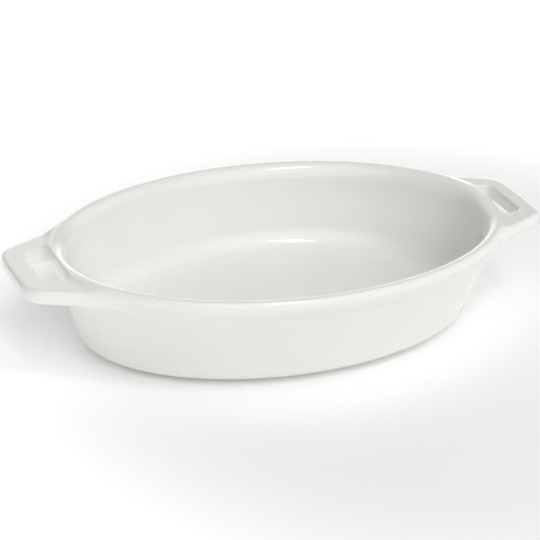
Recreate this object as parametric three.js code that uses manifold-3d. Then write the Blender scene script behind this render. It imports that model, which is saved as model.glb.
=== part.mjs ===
// Oval baking dish of glazed stoneware with two loop handles.
// Millimetres, +Z up. The origin is under the middle of the dish, on the surface that it stands on,
// and the handles point along X.
import * as THREE from 'three';
import { mergeVertices } from 'three/addons/utils/BufferGeometryUtils.js';
import loadManifold from 'manifold-3d';

// Overall sizes
const RIM_LENGTH = 287; // over the rim bead, without the handles
const RIM_WIDTH = 184.5;
const HEIGHT = 62.5;
const BASE_LENGTH = 248; // the outer wall, run down to the standing surface
const BASE_WIDTH = 151;

// Wall and floor
const WALL = 9.6; // measured level
const FLOOR = 9.5;
const COVE_RADIUS = 12.5; // inside, from wall to floor
const BASE_EDGE_RADIUS = 7.4; // outside, from wall to underside

// Rim bead
const BEAD_PROUD = 1.5; // stands out from the wall by this much
const BEAD_HEIGHT = 16; // from the crest down to the plain wall
const BEAD_SHOULDER = 6.2; // from the crest down to the widest place
const RIM_LEAD_IN = 8.6; // from the crest down to the plain inner wall
const CREST_INSET = 3.6; // the crest lies this far inside the line of the outer wall

// Foot ring
const FOOT_HEIGHT = 2;
const FOOT_WIDTH = 8;
const FOOT_SETBACK = 0.6; // from the end of the base edge's round to the ring
const FOOT_CHAMFER = 0.6;

// Handles
const HANDLE_REACH = 25; // from the rim's end to the handle's tip
const HANDLE_DROP = 2.7; // from the crest down to the handle's top face
const HANDLE_THICKNESS = 9.5;
const HANDLE_EDGE_RADIUS = 3;
const TIP_WIDTH = 55; // between the corners, before they are rounded
const TIP_BOW = 0.9;
const TIP_CORNER = 8; // length of each edge that a rounded corner takes
const SIDE_SLOPE = 0.39; // widening of each side per millimetre towards the dish
const ROOT_SETBACK = 51.5; // from the rim's end, along X, to where the side has run out on the wall
const ROOT_SINK = 1; // depth of that place behind the wall's face
const SEAM = 0.3; // luted joint between handle and dish

// Finger slot in each handle
const GRIP_WIDTH = 12.5; // from the slot to the handle's tip
const SLOT_BITE = 2.5; // the slot cuts this far into the rim bead
const SLOT_INNER_LENGTH = 44;
const SLOT_OUTER_LENGTH = 38;
const SLOT_CORNER = 5;
const SLOT_OVERCUT = 5; // the cutter reaches past the rim above and the bead below by this much

// Fineness of the facets
const OVAL_STEPS = 72;
const ARC_STEPS = 4;
const BEVEL_STEPS = 3;

const glaze = { color: 0xf3f1ec, roughness: 0.12, metalness: 0 };
const biscuit = { color: 0xe4dacb, roughness: 0.85, metalness: 0 };

const manifold = await loadManifold();
manifold.setup();

const rimEnd = RIM_LENGTH / 2;
const tipX = rimEnd + HANDLE_REACH;
const slotInnerX = rimEnd - SLOT_BITE;
const slotOuterX = tipX - GRIP_WIDTH;
const shoulderZ = HEIGHT - BEAD_SHOULDER;
const beadFootZ = HEIGHT - BEAD_HEIGHT;
const floorZ = FOOT_HEIGHT + FLOOR;
const handleTopZ = HEIGHT - HANDLE_DROP;
const handleBottomZ = handleTopZ - HANDLE_THICKNESS;

// Half axes of the outer wall's oval at a height: the wall flares evenly from base to bead.
function wallOval(z) {
  const up = z / shoulderZ;
  return {
    halfLength: THREE.MathUtils.lerp(BASE_LENGTH / 2, rimEnd - BEAD_PROUD, up),
    halfWidth: THREE.MathUtils.lerp(BASE_WIDTH / 2, RIM_WIDTH / 2 - BEAD_PROUD, up),
  };
}

// Point of a section at an angle round the dish. A section point's x is its distance out from
// the outer wall, and its y is the height.
function ovalPoint(section, angle) {
  const oval = wallOval(section.y);
  const x = (oval.halfLength + section.x) * Math.cos(angle);
  const y = (oval.halfWidth + section.x) * Math.sin(angle);
  return [x, y, section.y];
}

// Sweep of a section round the oval. An open section, given from the underside outwards and over the
// rim, is closed by flat faces at both ends. A ring's section joins up with itself.
function sweepOval(section, isRing) {
  const positions = [];
  const triangles = [];
  for (const point of section) {
    for (let step = 0; step < OVAL_STEPS; step += 1) {
      positions.push(...ovalPoint(point, (2 * Math.PI * step) / OVAL_STEPS));
    }
  }
  const bands = isRing ? section.length : section.length - 1;
  for (let band = 0; band < bands; band += 1) {
    const low = band * OVAL_STEPS;
    const high = ((band + 1) % section.length) * OVAL_STEPS;
    for (let step = 0; step < OVAL_STEPS; step += 1) {
      const next = (step + 1) % OVAL_STEPS;
      triangles.push(low + step, low + next, high + next, low + step, high + next, high + step);
    }
  }
  if (!isRing) {
    const last = (section.length - 1) * OVAL_STEPS;
    const under = positions.length / 3;
    positions.push(0, 0, section[0].y, 0, 0, section.at(-1).y);
    for (let step = 0; step < OVAL_STEPS; step += 1) {
      const next = (step + 1) % OVAL_STEPS;
      triangles.push(under, next, step, under + 1, last + step, last + next);
    }
  }
  const geometry = new THREE.BufferGeometry();
  geometry.setAttribute('position', new THREE.Float32BufferAttribute(positions, 3));
  geometry.setIndex(triangles);
  return geometry;
}

// Outer half of the dish's section, from the underside to the crest, grown outwards by a margin.
function outerSection(margin) {
  const path = new THREE.Path();
  const edgeZ = FOOT_HEIGHT + BASE_EDGE_RADIUS;
  const middleZ = (beadFootZ + shoulderZ) / 2;
  const beadOut = BEAD_PROUD + margin;
  path.absarc(-BASE_EDGE_RADIUS, edgeZ, BASE_EDGE_RADIUS + margin, -Math.PI / 2, 0);
  path.lineTo(margin, beadFootZ);
  path.bezierCurveTo(margin, middleZ, beadOut, middleZ, beadOut, shoulderZ);
  const crestReach = beadOut + CREST_INSET;
  path.absellipse(-CREST_INSET, shoulderZ, crestReach, BEAD_SHOULDER + margin, 0, Math.PI / 2, false, 0);
  return path.getPoints(ARC_STEPS);
}

// Inner half of the section, from the crest to the floor.
function innerSection() {
  const leadZ = HEIGHT - RIM_LEAD_IN;
  const path = new THREE.Path();
  path.absellipse(-CREST_INSET, leadZ, WALL - CREST_INSET, RIM_LEAD_IN, Math.PI / 2, Math.PI, false, 0);
  path.lineTo(-WALL, floorZ + COVE_RADIUS);
  path.absarc(-WALL - COVE_RADIUS, floorZ + COVE_RADIUS, COVE_RADIUS, 0, -Math.PI / 2, true);
  return path.getPoints(ARC_STEPS);
}

// The slot's outline from its near inner end, round the grip, to its far inner end.
function slotCurve(path) {
  const inner = SLOT_INNER_LENGTH / 2;
  const outer = SLOT_OUTER_LENGTH / 2;
  const side = new THREE.Vector2(slotInnerX - slotOuterX, inner - outer).setLength(SLOT_CORNER);
  path.lineTo(slotInnerX, inner);
  path.lineTo(slotOuterX + side.x, outer + side.y);
  path.quadraticCurveTo(slotOuterX, outer, slotOuterX, outer - SLOT_CORNER);
  path.lineTo(slotOuterX, SLOT_CORNER - outer);
  path.quadraticCurveTo(slotOuterX, -outer, slotOuterX + side.x, -outer - side.y);
  path.lineTo(slotInnerX, -inner);
}

// Point on the wall where a handle's side runs out, and the slope of the wall's oval there.
function handleRoot(z) {
  const oval = wallOval(z);
  const length = oval.halfLength - ROOT_SINK;
  const width = oval.halfWidth - ROOT_SINK;
  const x = rimEnd - ROOT_SETBACK;
  const y = width * Math.sqrt(1 - (x / length) ** 2);
  return { x, y, slope: (width ** 2 * x) / (length ** 2 * y) };
}

// Plan of a handle: a bowed tip with rounded corners, and sides that widen in one hollow curve until
// they run out along the wall. Its two arms reach under the dish, which is then cut away.
function handleShape() {
  const edgeX = tipX - TIP_BOW;
  const half = TIP_WIDTH / 2;
  const along = TIP_CORNER / Math.hypot(1, SIDE_SLOPE);
  const start = new THREE.Vector2(edgeX - along, half + SIDE_SLOPE * along);
  const root = handleRoot(handleBottomZ);
  const run = (root.y - start.y - root.slope * (start.x - root.x)) / (SIDE_SLOPE - root.slope);
  const bend = new THREE.Vector2(start.x - run, start.y + SIDE_SLOPE * run);
  const shape = new THREE.Shape();
  shape.moveTo(0, -root.y);
  shape.lineTo(root.x, -root.y);
  shape.quadraticCurveTo(bend.x, -bend.y, start.x, -start.y);
  shape.quadraticCurveTo(edgeX, -half, edgeX, -half + TIP_CORNER);
  shape.quadraticCurveTo(edgeX + 2 * TIP_BOW, 0, edgeX, half - TIP_CORNER);
  shape.quadraticCurveTo(edgeX, half, start.x, start.y);
  shape.quadraticCurveTo(bend.x, bend.y, root.x, root.y);
  shape.lineTo(0, root.y);
  shape.lineTo(0, SLOT_INNER_LENGTH / 2);
  slotCurve(shape);
  shape.lineTo(0, -SLOT_INNER_LENGTH / 2);
  shape.closePath();
  return shape;
}

// Plan of the cut that a slot makes in the bead, square at its inner end.
function slotShape() {
  const shape = new THREE.Shape();
  shape.moveTo(slotInnerX, 0);
  slotCurve(shape);
  shape.closePath();
  return shape;
}

// Plate of a plan shape between two heights, its edges rounded where a radius is given.
function plate(shape, bottom, top, radius) {
  const geometry = new THREE.ExtrudeGeometry(shape, {
    depth: top - bottom - 2 * radius,
    curveSegments: 2 * ARC_STEPS,
    bevelEnabled: radius > 0,
    bevelThickness: radius,
    bevelSize: radius,
    bevelOffset: -radius,
    bevelSegments: BEVEL_STEPS,
  });
  return geometry.translate(0, 0, bottom + radius);
}

// Closed geometry to solid, and back.
function toSolid(geometry) {
  const bare = geometry.clone();
  bare.deleteAttribute('normal');
  bare.deleteAttribute('uv');
  const merged = mergeVertices(bare);
  const mesh = new manifold.Mesh({
    numProp: 3,
    vertProperties: new Float32Array(merged.attributes.position.array),
    triVerts: new Uint32Array(merged.index.array),
  });
  return new manifold.Manifold(mesh);
}

function toGeometry(solid) {
  const mesh = solid.getMesh();
  const geometry = new THREE.BufferGeometry();
  geometry.setAttribute('position', new THREE.BufferAttribute(mesh.vertProperties, 3));
  geometry.setIndex(new THREE.BufferAttribute(mesh.triVerts, 1));
  geometry.computeVertexNormals();
  return geometry;
}

// Bowl with floor, wall and rim, its bead cut straight where each finger slot passes it.
function dishBody() {
  const section = [...outerSection(0), ...innerSection().slice(1)];
  const cutter = plate(slotShape(), beadFootZ - SLOT_OVERCUT, HEIGHT + SLOT_OVERCUT, 0);
  const rightCut = toSolid(cutter);
  const leftCut = toSolid(cutter.clone().rotateZ(Math.PI));
  return toGeometry(toSolid(sweepOval(section, false)).subtract(rightCut).subtract(leftCut));
}

// Loop handle of the +X end, fitted to the dish with the seam's gap.
function loopHandle() {
  const radius = Math.min(HANDLE_EDGE_RADIUS, HANDLE_THICKNESS / 3);
  const whole = toSolid(plate(handleShape(), handleBottomZ, handleTopZ, radius));
  const dishWithSeam = toSolid(sweepOval(outerSection(SEAM), false));
  return toGeometry(whole.subtract(dishWithSeam));
}

// Standing ring under the base, its lower edges chamfered.
function footRing() {
  const outside = -BASE_EDGE_RADIUS - FOOT_SETBACK;
  const inside = outside - FOOT_WIDTH;
  const section = [
    new THREE.Vector2(inside + FOOT_CHAMFER, 0),
    new THREE.Vector2(outside - FOOT_CHAMFER, 0),
    new THREE.Vector2(outside, FOOT_CHAMFER),
    new THREE.Vector2(outside, FOOT_HEIGHT),
    new THREE.Vector2(inside, FOOT_HEIGHT),
    new THREE.Vector2(inside, FOOT_CHAMFER),
  ];
  const geometry = sweepOval(section, true);
  geometry.computeVertexNormals();
  return geometry;
}

function piece(name, geometry, finish) {
  const mesh = new THREE.Mesh(geometry, new THREE.MeshStandardMaterial(finish));
  mesh.name = name;
  return mesh;
}

const dish = new THREE.Group();
dish.add(piece('dish_body', dishBody(), glaze));
dish.add(piece('foot_ring', footRing(), biscuit));
dish.add(piece('right_handle', loopHandle(), glaze));
const leftHandle = piece('left_handle', loopHandle(), glaze);
leftHandle.rotation.z = Math.PI;
dish.add(leftHandle);

export default dish;
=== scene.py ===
"""Oval baking dish of white glazed stoneware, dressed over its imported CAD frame.

The glazed surface is one implicit shape: an oval bowl, two loop handles melted into its rim, and a finger
slot through each handle. It is meshed once, then parted at the luted joints into a bowl and two handles.
Shapes are worked out in millimetres, and Blender's objects are in metres.
"""

import math

import bmesh
import bpy
import numpy as np
import openvdb
from mathutils import Matrix, Vector


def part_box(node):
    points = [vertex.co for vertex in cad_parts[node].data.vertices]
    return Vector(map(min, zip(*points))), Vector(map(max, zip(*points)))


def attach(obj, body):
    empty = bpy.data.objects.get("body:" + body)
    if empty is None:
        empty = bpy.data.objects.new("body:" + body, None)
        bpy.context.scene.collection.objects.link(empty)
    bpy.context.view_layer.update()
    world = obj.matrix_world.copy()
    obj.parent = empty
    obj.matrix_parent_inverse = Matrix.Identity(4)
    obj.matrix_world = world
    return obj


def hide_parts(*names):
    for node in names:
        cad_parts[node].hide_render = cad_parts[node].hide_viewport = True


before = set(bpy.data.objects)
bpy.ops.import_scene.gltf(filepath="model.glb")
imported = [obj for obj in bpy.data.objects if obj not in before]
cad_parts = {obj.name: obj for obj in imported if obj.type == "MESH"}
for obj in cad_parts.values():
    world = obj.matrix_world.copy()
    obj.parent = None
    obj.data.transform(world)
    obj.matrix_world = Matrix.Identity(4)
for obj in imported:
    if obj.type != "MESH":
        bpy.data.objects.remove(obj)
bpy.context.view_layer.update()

MM = 0.001


def frame_mm(node, corner, axis):
    """One side of a CAD node's box in millimetres; corner 0 is low and 1 is high."""
    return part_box(node)[corner][axis] / MM


# Sizes read from the frame
HEIGHT = frame_mm("dish_body", 1, 2)
UNDERSIDE_Z = frame_mm("dish_body", 0, 2)
HANDLE_TOP_Z = frame_mm("right_handle", 1, 2)
HANDLE_BOTTOM_Z = frame_mm("right_handle", 0, 2)
TIP_X = frame_mm("right_handle", 1, 0)

# Bowl, as in the construction
RIM_HALF_LENGTH = 143.5
RIM_HALF_WIDTH = 92.25
BASE_HALF_LENGTH = 124.0
BASE_HALF_WIDTH = 75.5
WALL = 9.6
FLOOR = 9.5
COVE_RADIUS = 12.5
BASE_EDGE_RADIUS = 7.4
BEAD_PROUD = 1.5
BEAD_HEIGHT = 16.0
BEAD_SHOULDER = 6.2
RIM_LEAD_IN = 8.6
CREST_INSET = 3.6
SHOULDER_Z = HEIGHT - BEAD_SHOULDER
BEAD_FOOT_Z = HEIGHT - BEAD_HEIGHT
LEAD_Z = HEIGHT - RIM_LEAD_IN
FLOOR_Z = UNDERSIDE_Z + FLOOR
DEEPEST_OFFSET = -50.0

# Foot ring
FOOT_WIDTH = 8.0
FOOT_SETBACK = 0.6
FOOT_ROUND = 0.8
FOOT_STEPS = 288
FOOT_ROUND_STEPS = 4

# Handles
HANDLE_EDGE_RADIUS = 4.0
TIP_HALF_WIDTH = 27.5
TIP_BOW = 0.9
TIP_CORNER = 14.0
ROOT_RISE = 2.5
RISE_REACH = 7.5
ROOT_DROOP = 2.2
DROOP_START_X = 150.0
DROOP_END_X = 105.0
SIDE_START = Vector((160.2, 30.4))
SIDE_BEND = Vector((133.5, 41.1))
SIDE_END = Vector((92.0, 64.5))
GRIP_WIDTH = 12.5
SLOT_BITE = 2.5
SLOT_INNER_HALF = 22.0
SLOT_OUTER_HALF = 19.0
SLOT_CORNER = 5.0
SLOT_BOW = 1.1
SLOT_LEAN = 0.2
SLOT_FLOOR_Z = 40.0

# How softly the forms run into each other
HANDLE_MELT = 6.0
HANDLE_MELT_EDGES = 2.0
ROOT_MELT = 4.0
SLOT_EDGE_MELT = 1.6

# Studio: banks of light as azimuth, elevation and reach in degrees, and radiance
LIGHT_BANKS = [
    (-87.0, 42.0, 44.0, 1.4),
    (-87.0, 65.0, 45.0, 0.5),
    (-57.0, 50.0, 60.0, 0.5),
    (3.0, 28.0, 30.0, 0.9),
    (63.0, 2.0, 26.0, 2.4),
    (93.0, 28.0, 30.0, 1.5),
    (183.0, 10.0, 45.0, 0.5),
]
ROOM_LIGHT = 0.03
LIGHT_TINT = (1.0, 1.0, 0.99, 1.0)
STREAK_AZIMUTH = -65.0
STREAK_ELEVATION = 65.0
STREAK_DISTANCE = 1.6
STREAK_SIZE = (0.16, 0.3)
STREAK_POWER = 2.2
FLOOR_HALF_SIZE = 4.0
FLOOR_DROP = 0.0002
GLOW_CENTRE = (0.1, -0.04, 0.0)
GLOW_START = 0.18
GLOW_FULL = 0.42
GLOW_NEAR = 0.12
GLOW_FAR = 0.55

# Floor
FLOOR_COLOUR = (0.88, 0.88, 0.88, 1.0)
FLOOR_ROUGHNESS = 0.9
FLOOR_SPECULAR = 0.1
WHITE = (1.0, 1.0, 1.0, 1.0)

# Glaze: colours, and the noise that clouds and ripples it
GLAZE_DEEP = (0.86, 0.854, 0.836, 1.0)
GLAZE_PALE = (0.88, 0.874, 0.856, 1.0)
GLAZE_ROUGHNESS = (0.03, 0.06)
GLAZE_IOR = 1.5
CLOUD_SCALE = 14.0
CLOUD_DETAIL = 3.0
CLOUD_SPAN = (0.35, 0.65)
RIPPLE_SCALE = 55.0
RIPPLE_DETAIL = 1.0
RIPPLE_STRENGTH = 0.25
RIPPLE_DEPTH = 0.0002

# Bare stoneware: colours, and the noise of its grain
BISCUIT_DARK = (0.42, 0.34, 0.26, 1.0)
BISCUIT_PALE = (0.66, 0.58, 0.48, 1.0)
BISCUIT_ROUGHNESS = 0.85
GRAIN_SCALE = 900.0
GRAIN_DETAIL = 4.0
GRAIN_SPAN = (0.3, 0.62)
GRAIN_STRENGTH = 0.6
GRAIN_DEPTH = 0.0002

# Photograph's view, found by fitting the dish's outlines in it
CAMERA_PLACE = Vector((-0.4584, -0.9125, 0.5569))
CAMERA_AIM = Vector((-0.0042, 0.0039, 0.0315))
CAMERA_ROLL = math.radians(3.83)
SENSOR_WIDTH = 36.0
FOCAL_PIXELS = 1900.0
FRAME_PIXELS = 540.0

# Meshing
VOXEL = 0.9
COARSE = 4
COARSE_BAND = 8.0
MARGIN = 4.0
SETTLE_STEPS = 4
RELAX_STEPS = 3
LAST_STEPS = 2
GRADIENT_STEP = 0.02
OFFSET_STEPS = 5
TINY = 1e-9
JOINT_PROUD = 0.6
JOINT_END_X = 127.0
JOINT_SNAP = 0.35
JOINT_SNAP_STEPS = 3
JOINT_DEPTH = 0.6
FLATTEST_SLOPE = 0.1


def smooth_step(amount):
    """Smooth ramp from 0 to 1."""
    t = np.clip(amount, 0.0, 1.0)
    return t * t * t * (t * (6.0 * t - 15.0) + 10.0)


def smooth_min(a, b, reach):
    """Union of two fields that melt together where they differ by less than reach."""
    near = np.maximum(reach - np.abs(a - b), 0.0) / reach
    return np.minimum(a, b) - near**3 * reach / 6.0


def smooth_max(a, b, reach):
    """Intersection of two fields with a rounded edge."""
    return -smooth_min(-a, -b, reach)


def rounded_corner(a, b, radius):
    """Field of the corner where two faces meet, rounded; negative where both are."""
    corner = np.hypot(np.maximum(a + radius, 0.0), np.maximum(b + radius, 0.0))
    return corner + np.minimum(np.maximum(a, b) + radius, 0.0) - radius


def offset_from_wall(x, y, z):
    """Level distance of points outside the flared oval wall, negative inside it."""
    up = z / SHOULDER_Z
    half_length = BASE_HALF_LENGTH + (RIM_HALF_LENGTH - BEAD_PROUD - BASE_HALF_LENGTH) * up
    half_width = BASE_HALF_WIDTH + (RIM_HALF_WIDTH - BEAD_PROUD - BASE_HALF_WIDTH) * up
    offset = np.zeros(np.broadcast(x, y, z).shape)
    for _ in range(OFFSET_STEPS):
        a = half_length + offset
        b = half_width + offset
        reach = np.sqrt((x / a) ** 2 + (y / b) ** 2) + TINY
        slope = ((x / a) ** 2 / a + (y / b) ** 2 / b) / reach + TINY
        offset = np.maximum(offset + (reach - 1.0) * reach / slope, DEEPEST_OFFSET)
    return offset


def bowl_field(x, y, z):
    """Floor, wall and rim bead; negative in the clay."""
    n = offset_from_wall(x, y, z)
    flare = BEAD_PROUD * smooth_step((z - BEAD_FOOT_Z) / (SHOULDER_Z - BEAD_FOOT_Z))
    wall_out = rounded_corner(n - flare, UNDERSIDE_Z - z, BASE_EDGE_RADIUS)
    out_x = BEAD_PROUD + CREST_INSET
    crest_out = out_x * (
        np.hypot(np.maximum(n + CREST_INSET, 0.0) / out_x, (z - SHOULDER_Z) / BEAD_SHOULDER) - 1.0
    )
    wall_in = -rounded_corner(n + WALL, FLOOR_Z - z, COVE_RADIUS)
    in_x = WALL - CREST_INSET
    crest_in = in_x * (
        np.hypot(np.maximum(-CREST_INSET - n, 0.0) / in_x, (z - LEAD_Z) / RIM_LEAD_IN) - 1.0
    )
    outer = np.where(z < SHOULDER_Z, wall_out, crest_out)
    inner = np.where(z < LEAD_Z, wall_in, crest_in)
    return np.maximum(outer, inner)


def side_half_width(x):
    """Half width of a handle at a distance along X: straight by the tip, then a hollow flare."""
    bow = SIDE_START.x - 2.0 * SIDE_BEND.x + SIDE_END.x
    run = 2.0 * (SIDE_BEND.x - SIDE_START.x)
    inside = np.maximum(run * run - 4.0 * bow * (SIDE_START.x - x), 0.0)
    t = np.clip((-run - np.sqrt(inside)) / (2.0 * bow), 0.0, 1.0)
    width = SIDE_START.y * (1.0 - t) ** 2 + 2.0 * SIDE_BEND.y * t * (1.0 - t) + SIDE_END.y * t * t
    tip_slope = (SIDE_BEND.y - SIDE_START.y) / (SIDE_START.x - SIDE_BEND.x)
    return width - tip_slope * np.maximum(x - SIDE_START.x, 0.0)


def handle_field(x, y, z):
    """Both handles as plates with rounded edges, before their slots are cut."""
    out = np.abs(x)
    tip = out - (TIP_X - TIP_BOW * (y / TIP_HALF_WIDTH) ** 2)
    side = np.abs(y) - side_half_width(out)
    plan = smooth_max(tip, side, TIP_CORNER)
    droop = ROOT_DROOP * smooth_step((DROOP_START_X - out) / (DROOP_START_X - DROOP_END_X))
    n = offset_from_wall(x, y, z)
    rise = ROOT_RISE * smooth_step((RISE_REACH - n) / (RISE_REACH + CREST_INSET))
    level = np.maximum(z - HANDLE_TOP_Z - rise, HANDLE_BOTTOM_Z - droop - z)
    plate = rounded_corner(plan, level, HANDLE_EDGE_RADIUS)
    return smooth_max(plate, -CREST_INSET - n, ROOT_MELT)


def slot_field(x, y, z):
    """Finger slots, longest beside the rim and undercut there; negative in the opening."""
    bow = SLOT_BOW * (y / SLOT_INNER_HALF) ** 2
    inner = RIM_HALF_LENGTH - SLOT_BITE - bow - SLOT_LEAN * (HANDLE_TOP_Z - z)
    outer = TIP_X - GRIP_WIDTH
    out = np.abs(x)
    along = (out - inner) / (outer - inner)
    ends = np.abs(y) - (SLOT_INNER_HALF + (SLOT_OUTER_HALF - SLOT_INNER_HALF) * along)
    sides = np.abs(out - (inner + outer) / 2.0) - (outer - inner) / 2.0
    return np.maximum(rounded_corner(ends, sides, SLOT_CORNER), SLOT_FLOOR_Z - z)


def dish_field(x, y, z):
    """The whole glazed surface: handles run softly out of the wall at their sides and crisply below."""
    middle = (HANDLE_BOTTOM_Z + HANDLE_TOP_Z) / 2.0
    above = smooth_step((z - HANDLE_BOTTOM_Z) / (middle - HANDLE_BOTTOM_Z))
    below = smooth_step((HEIGHT - z) / (HEIGHT - middle))
    melt = HANDLE_MELT_EDGES + (HANDLE_MELT - HANDLE_MELT_EDGES) * above * below
    solid = smooth_min(bowl_field(x, y, z), handle_field(x, y, z), melt)
    return smooth_max(solid, -slot_field(x, y, z), SLOT_EDGE_MELT)


def field_gradient(points):
    """Gradient of the dish's field by central differences."""
    columns = []
    for axis in range(3):
        step = np.zeros(3)
        step[axis] = GRADIENT_STEP
        ahead = dish_field(*(points + step).T)
        behind = dish_field(*(points - step).T)
        columns.append((ahead - behind) / (2.0 * GRADIENT_STEP))
    return np.stack(columns, 1)


def unit_normals(points):
    """Unit normals of the dish's field at points."""
    gradient = field_gradient(points)
    return gradient / np.linalg.norm(gradient, axis=1)[:, None]


def settle(points, steps):
    """Points moved onto the exact surface."""
    for _ in range(steps):
        gradient = field_gradient(points)
        value = dish_field(*points.T)
        points = points - gradient * (value / (gradient**2).sum(1))[:, None]
    return points


def relax(points, quads):
    """Points evened out between their neighbours."""
    ends = np.concatenate([quads[:, [0, 1]], quads[:, [1, 2]], quads[:, [2, 3]], quads[:, [3, 0]]])
    ends = np.concatenate([ends, ends[:, ::-1]])
    count = np.bincount(ends[:, 0], minlength=len(points))
    total = [np.bincount(ends[:, 0], points[ends[:, 1], axis], len(points)) for axis in range(3)]
    return (points + np.stack(total, 1) / count[:, None]) / 2.0


def dish_surface():
    """Points and quads of the whole glazed surface, in millimetres."""
    low = np.array([-TIP_X, -RIM_HALF_WIDTH, UNDERSIDE_Z]) - MARGIN
    high = np.array([TIP_X, RIM_HALF_WIDTH, HEIGHT]) + MARGIN
    places = [np.arange(a, b, VOXEL) for a, b in zip(low, high)]
    x, y, z = np.meshgrid(*[place[::COARSE] for place in places], indexing="ij")
    values = dish_field(x, y, z)
    for axis, place in enumerate(places):
        values = values.repeat(COARSE, axis).take(np.arange(len(place)), axis)
    near = np.nonzero(np.abs(values) < COARSE_BAND)
    values[near] = dish_field(*[place[index] for place, index in zip(places, near)])
    grid = openvdb.FloatGrid()
    grid.copyFromArray(values.astype(np.float32))
    points, quads = grid.convertToQuads()
    points = settle(low + points.astype(float) * VOXEL, SETTLE_STEPS)
    for _ in range(RELAX_STEPS):
        points = settle(relax(points, quads), 1)
    return settle(points, LAST_STEPS), quads


def past_joint(points):
    """Level distance of points past the upright joint between the rim bead and a handle."""
    x, y = points[:, 0], points[:, 1]
    from_bead = offset_from_wall(x, y, SHOULDER_Z) - BEAD_PROUD - JOINT_PROUD
    return np.minimum(from_bead, np.abs(x) - JOINT_END_X)


def joint_slope(points):
    """Level gradient of the distance past the joint, by central differences."""
    columns = []
    for step in np.eye(3)[:2] * GRADIENT_STEP:
        columns.append((past_joint(points + step) - past_joint(points - step)) / (2.0 * GRADIENT_STEP))
    return np.stack([*columns, np.zeros(len(points))], 1)


def snap_to_joint(points):
    """Points beside the joint slid along the surface onto it, so that no sliver is cut off there."""
    near = np.flatnonzero(np.abs(past_joint(points)) < JOINT_SNAP)
    moved = points[near]
    for _ in range(JOINT_SNAP_STEPS):
        slope = joint_slope(moved)
        normal = unit_normals(moved)
        slope -= normal * (slope * normal).sum(1)[:, None]
        steepness = np.maximum((slope**2).sum(1), FLATTEST_SLOPE)
        moved = settle(moved - slope * (past_joint(moved) / steepness)[:, None], 1)
    points[near] = moved
    return points


def part_at_joints(points, quads):
    """Mesh of the surface with its faces cut along the luted joints of the handles."""
    points = snap_to_joint(points)
    whole = bpy.data.meshes.new("glazed_surface")
    whole.from_pydata(points.tolist(), [], quads.tolist())
    surface = bmesh.new()
    surface.from_mesh(whole)
    bpy.data.meshes.remove(whole)
    past = past_joint(points)
    past[np.abs(past) < JOINT_SNAP / 2.0] = 0.0
    crossing = [e for e in surface.edges if past[e.verts[0].index] * past[e.verts[1].index] < 0.0]
    joint = {vert for vert in surface.verts if past[vert.index] == 0.0}
    for edge in crossing:
        start, end = edge.verts
        share = past[start.index] / (past[start.index] - past[end.index])
        joint.add(bmesh.utils.edge_split(edge, start, share)[1])
    for face in list(surface.faces):
        cut = [vert for vert in face.verts if vert in joint]
        if len(cut) == 2 and not any(edge.other_vert(cut[0]) == cut[1] for edge in cut[0].link_edges):
            bmesh.utils.face_split(face, cut[0], cut[1])
    surface.faces.index_update()
    return surface


def connected(start, allowed):
    """Faces reached from one face over allowed faces."""
    reached = {start}
    front = [start]
    while front:
        for edge in front.pop().edges:
            fresh = [face for face in edge.link_faces if allowed[face.index] and face not in reached]
            reached.update(fresh)
            front.extend(fresh)
    return reached


def drop_pinches(handle):
    """Handle's faces without those that hang on by a corner, so that each joint is one plain loop."""
    pinched = True
    while pinched:
        verts = {vert for face in handle for vert in face.verts}
        pinched = []
        for vert in verts:
            sides = [len(handle.intersection(edge.link_faces)) for edge in vert.link_edges]
            if sides.count(1) > 2:
                pinched.append(vert)
        for vert in pinched:
            handle.difference_update(vert.link_faces)
    return handle


def sort_faces(surface):
    """Faces of the bowl, the left handle and the right handle."""
    faces = list(surface.faces)
    centres = np.array([face.calc_center_median() for face in faces])
    outside = past_joint(centres) > 0.0
    left = drop_pinches(connected(faces[centres[:, 0].argmin()], outside))
    right = drop_pinches(connected(faces[centres[:, 0].argmax()], outside))
    plain = np.array([face not in left and face not in right for face in faces])
    bowl = connected(faces[np.hypot(centres[:, 0], centres[:, 1]).argmin()], plain)
    for face, centre in zip(faces, centres):
        if plain[face.index] and face not in bowl:
            (left if centre[0] < 0.0 else right).add(face)
    return bowl, left, right


def vert_points(verts):
    """Places of vertices as an array."""
    return np.array([vert.co for vert in verts])


def move_verts(verts, points):
    """Vertices put at new places."""
    for vert, point in zip(verts, points):
        vert.co = point


def close_joints(part):
    """Open loops of a part turned in under the surface and capped there."""
    open_edges = [edge for edge in part.edges if edge.is_boundary]
    turned = bmesh.ops.extrude_edge_only(part, edges=open_edges)["geom"]
    inner = [item for item in turned if isinstance(item, bmesh.types.BMVert)]
    points = vert_points(inner)
    move_verts(inner, points - unit_normals(points) * JOINT_DEPTH)
    inner_edges = [item for item in turned if isinstance(item, bmesh.types.BMEdge) and item.is_boundary]
    caps = bmesh.ops.edgeloop_fill(part, edges=inner_edges)["faces"]
    bmesh.ops.triangulate(part, faces=caps, ngon_method="BEAUTY")
    bmesh.ops.recalc_face_normals(part, faces=part.faces)


def make_piece(name, surface, wanted):
    """Closed object of the faces that are wanted, with the exact normals of the surface."""
    part = surface.copy()
    kept = {face.index for face in wanted}
    unwanted = [face for face in part.faces if face.index not in kept]
    bmesh.ops.delete(part, geom=unwanted, context="FACES")
    move_verts(part.verts, settle(vert_points(part.verts), 1))
    close_joints(part)
    for face in part.faces:
        face.smooth = True
    normals = unit_normals(vert_points(part.verts))
    bmesh.ops.scale(part, vec=(MM, MM, MM), verts=part.verts)
    mesh = bpy.data.meshes.new(name)
    part.to_mesh(mesh)
    part.free()
    mesh.normals_split_custom_set_from_vertices(normals)
    piece = bpy.data.objects.new(name, mesh)
    bpy.context.scene.collection.objects.link(piece)
    return piece


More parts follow.
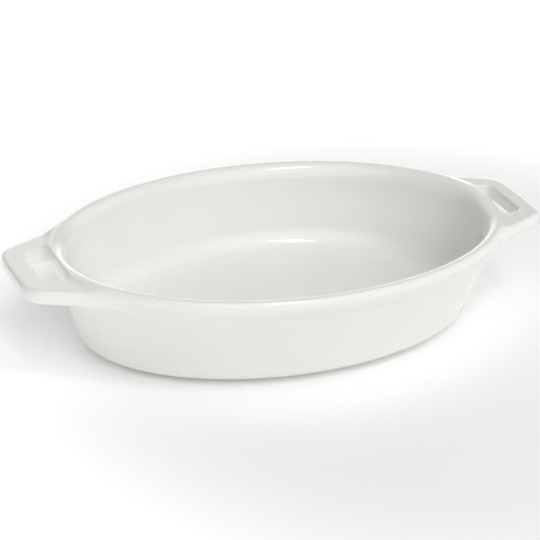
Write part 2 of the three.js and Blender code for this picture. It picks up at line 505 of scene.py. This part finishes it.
def make_foot_ring():
    """Standing ring with rounded lower edges."""
    outside = -BASE_EDGE_RADIUS - FOOT_SETBACK
    inside = outside - FOOT_WIDTH
    section = [(inside, UNDERSIDE_Z)]
    for step in range(FOOT_ROUND_STEPS + 1):
        turn = math.pi / 2.0 * step / FOOT_ROUND_STEPS
        section.append((inside + FOOT_ROUND * (1 - math.cos(turn)), FOOT_ROUND * (1 - math.sin(turn))))
    for step in range(FOOT_ROUND_STEPS + 1):
        turn = math.pi / 2.0 * step / FOOT_ROUND_STEPS
        section.append((outside - FOOT_ROUND * (1 - math.sin(turn)), FOOT_ROUND * (1 - math.cos(turn))))
    section.append((outside, UNDERSIDE_Z))
    angles = np.arange(FOOT_STEPS) * 2.0 * math.pi / FOOT_STEPS
    points = []
    for offset, height in section:
        ring = np.stack([
            (BASE_HALF_LENGTH + offset) * np.cos(angles),
            (BASE_HALF_WIDTH + offset) * np.sin(angles),
            np.full(FOOT_STEPS, height),
        ], 1)
        points.append(ring)
    faces = []
    for band in range(len(section)):
        after = (band + 1) % len(section)
        for step in range(FOOT_STEPS):
            turn = (step + 1) % FOOT_STEPS
            faces.append([
                band * FOOT_STEPS + step, band * FOOT_STEPS + turn,
                after * FOOT_STEPS + turn, after * FOOT_STEPS + step,
            ])
    mesh = bpy.data.meshes.new("biscuit_foot_ring")
    mesh.from_pydata((np.concatenate(points) * MM).tolist(), [], faces)
    mesh.shade_smooth()
    piece = bpy.data.objects.new("biscuit_foot_ring", mesh)
    bpy.context.scene.collection.objects.link(piece)
    return piece


def new_material(name):
    """Node material, its tree and its shader."""
    material = bpy.data.materials.new(name)
    material.use_nodes = True
    tree = material.node_tree
    return material, tree, tree.nodes["Principled BSDF"]


def add_noise(tree, scale, detail):
    """Noise texture in the object's own coordinates."""
    place = tree.nodes.new("ShaderNodeTexCoord")
    noise = tree.nodes.new("ShaderNodeTexNoise")
    noise.inputs["Scale"].default_value = scale
    noise.inputs["Detail"].default_value = detail
    tree.links.new(place.outputs["Object"], noise.inputs["Vector"])
    return noise


def tint_by(tree, shader, noise, span, colours):
    """Base colour that runs between two colours over a span of the noise."""
    ramp = tree.nodes.new("ShaderNodeValToRGB")
    for stop, position, colour in zip(ramp.color_ramp.elements, span, colours):
        stop.position = position
        stop.color = colour
    tree.links.new(noise.outputs["Fac"], ramp.inputs["Fac"])
    tree.links.new(ramp.outputs["Color"], shader.inputs["Base Color"])


def bump_by(tree, shader, noise, strength, depth):
    """Fine relief that follows the noise."""
    bump = tree.nodes.new("ShaderNodeBump")
    bump.inputs["Strength"].default_value = strength
    bump.inputs["Distance"].default_value = depth
    tree.links.new(noise.outputs["Fac"], bump.inputs["Height"])
    tree.links.new(bump.outputs["Normal"], shader.inputs["Normal"])


def glaze_material():
    """Thick white glaze: high gloss, faintly wavy, a little warmer where it pools or thins."""
    material, tree, shader = new_material("white_glaze")
    cloud = add_noise(tree, CLOUD_SCALE, CLOUD_DETAIL)
    tint_by(tree, shader, cloud, CLOUD_SPAN, (GLAZE_DEEP, GLAZE_PALE))
    gloss = tree.nodes.new("ShaderNodeMapRange")
    gloss.inputs["To Min"].default_value, gloss.inputs["To Max"].default_value = GLAZE_ROUGHNESS
    tree.links.new(cloud.outputs["Fac"], gloss.inputs["Value"])
    tree.links.new(gloss.outputs["Result"], shader.inputs["Roughness"])
    bump_by(tree, shader, add_noise(tree, RIPPLE_SCALE, RIPPLE_DETAIL), RIPPLE_STRENGTH, RIPPLE_DEPTH)
    shader.inputs["IOR"].default_value = GLAZE_IOR
    return material


def biscuit_material():
    """Bare fired stoneware: matte and sandy, with a fine grain."""
    material, tree, shader = new_material("bare_stoneware")
    grain = add_noise(tree, GRAIN_SCALE, GRAIN_DETAIL)
    tint_by(tree, shader, grain, GRAIN_SPAN, (BISCUIT_DARK, BISCUIT_PALE))
    bump_by(tree, shader, grain, GRAIN_STRENGTH, GRAIN_DEPTH)
    shader.inputs["Roughness"].default_value = BISCUIT_ROUGHNESS
    return material


def make_floor():
    """Plain white studio floor that glows a little away from the dish."""
    mesh = bpy.data.meshes.new("studio_floor")
    half = FLOOR_HALF_SIZE
    corners = [(-half, -half, 0.0), (half, -half, 0.0), (half, half, 0.0), (-half, half, 0.0)]
    mesh.from_pydata(corners, [], [(0, 1, 2, 3)])
    floor = bpy.data.objects.new("studio_floor", mesh)
    floor.location.z = -FLOOR_DROP
    bpy.context.scene.collection.objects.link(floor)
    material, tree, shader = new_material("studio_white")
    shader.inputs["Base Color"].default_value = FLOOR_COLOUR
    shader.inputs["Roughness"].default_value = FLOOR_ROUGHNESS
    shader.inputs["Specular IOR Level"].default_value = FLOOR_SPECULAR
    shader.inputs["Emission Color"].default_value = WHITE
    place = tree.nodes.new("ShaderNodeTexCoord")
    distance = tree.nodes.new("ShaderNodeVectorMath")
    distance.operation = "DISTANCE"
    distance.inputs[1].default_value = GLOW_CENTRE
    glow = tree.nodes.new("ShaderNodeMapRange")
    glow.interpolation_type = "SMOOTHSTEP"
    glow.inputs["From Min"].default_value = GLOW_START
    glow.inputs["From Max"].default_value = GLOW_FULL
    glow.inputs["To Min"].default_value = GLOW_NEAR
    glow.inputs["To Max"].default_value = GLOW_FAR
    tree.links.new(place.outputs["Object"], distance.inputs[0])
    tree.links.new(distance.outputs["Value"], glow.inputs["Value"])
    tree.links.new(glow.outputs["Result"], shader.inputs["Emission Strength"])
    mesh.materials.append(material)


def direction(azimuth, elevation):
    """Unit vector towards a place in the studio, from angles in degrees."""
    level = math.cos(math.radians(elevation))
    x = level * math.cos(math.radians(azimuth))
    y = level * math.sin(math.radians(azimuth))
    return Vector((x, y, math.sin(math.radians(elevation))))


def add_softbox():
    """Small softbox overhead, which draws the bright streaks on the rim and in the cove."""
    light = bpy.data.lights.new("streak_softbox", "AREA")
    light.shape = "RECTANGLE"
    light.size, light.size_y = STREAK_SIZE
    light.energy = STREAK_POWER
    lamp = bpy.data.objects.new("streak_softbox", light)
    lamp.location = direction(STREAK_AZIMUTH, STREAK_ELEVATION) * STREAK_DISTANCE
    lamp.rotation_euler = lamp.location.to_track_quat("Z", "Y").to_euler()
    bpy.context.scene.collection.objects.link(lamp)


def add_bank(tree, place, azimuth, elevation, reach, radiance):
    """Brightness of one broad, soft-edged bank of light."""
    facing = tree.nodes.new("ShaderNodeVectorMath")
    facing.operation = "DOT_PRODUCT"
    facing.inputs[1].default_value = direction(azimuth, elevation)
    bank = tree.nodes.new("ShaderNodeMapRange")
    bank.interpolation_type = "SMOOTHSTEP"
    bank.inputs["From Min"].default_value = math.cos(math.radians(reach))
    bank.inputs["To Min"].default_value = ROOM_LIGHT / len(LIGHT_BANKS)
    bank.inputs["To Max"].default_value = radiance
    tree.links.new(place.outputs["Generated"], facing.inputs[0])
    tree.links.new(facing.outputs["Value"], bank.inputs["Value"])
    return bank.outputs["Result"]


def add_studio():
    """Dim room with banks of light round the dish."""
    scene = bpy.context.scene
    world = bpy.data.worlds.new("studio")
    world.use_nodes = True
    tree = world.node_tree
    place = tree.nodes.new("ShaderNodeTexCoord")
    banks = [add_bank(tree, place, *values) for values in LIGHT_BANKS]
    total = banks[0]
    for bank in banks[1:]:
        both = tree.nodes.new("ShaderNodeMath")
        tree.links.new(total, both.inputs[0])
        tree.links.new(bank, both.inputs[1])
        total = both.outputs["Value"]
    background = tree.nodes["Background"]
    background.inputs["Color"].default_value = LIGHT_TINT
    tree.links.new(total, background.inputs["Strength"])
    scene.world = world
    scene.view_settings.view_transform = "Standard"


def add_camera():
    """Camera at the photograph's viewing angle."""
    data = bpy.data.cameras.new("photo_camera")
    data.sensor_width = SENSOR_WIDTH
    data.lens = SENSOR_WIDTH * FOCAL_PIXELS / FRAME_PIXELS
    camera = bpy.data.objects.new("photo_camera", data)
    turn = (CAMERA_AIM - CAMERA_PLACE).to_track_quat("-Z", "Y").to_matrix().to_4x4()
    camera.matrix_world = Matrix.Translation(CAMERA_PLACE) @ turn @ Matrix.Rotation(CAMERA_ROLL, 4, "Z")
    bpy.context.scene.collection.objects.link(camera)
    bpy.context.scene.camera = camera


add_camera()
add_studio()
add_softbox()
make_floor()

glaze = glaze_material()
biscuit = biscuit_material()
surface = part_at_joints(*dish_surface())
bowl_faces, left_faces, right_faces = sort_faces(surface)
bowl = make_piece("glazed_bowl", surface, bowl_faces)
left = make_piece("glazed_left_handle", surface, left_faces)
right = make_piece("glazed_right_handle", surface, right_faces)
surface.free()
foot = make_foot_ring()

PIECES = [
    (bowl, "dish_body", "glaze", glaze),
    (left, "left_handle", "glaze", glaze),
    (right, "right_handle", "glaze", glaze),
    (foot, "foot_ring", "biscuit", biscuit),
]
for piece, node, slot, material in PIECES:
    piece.data.materials.append(material)
    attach(piece, "root")
    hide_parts(node)
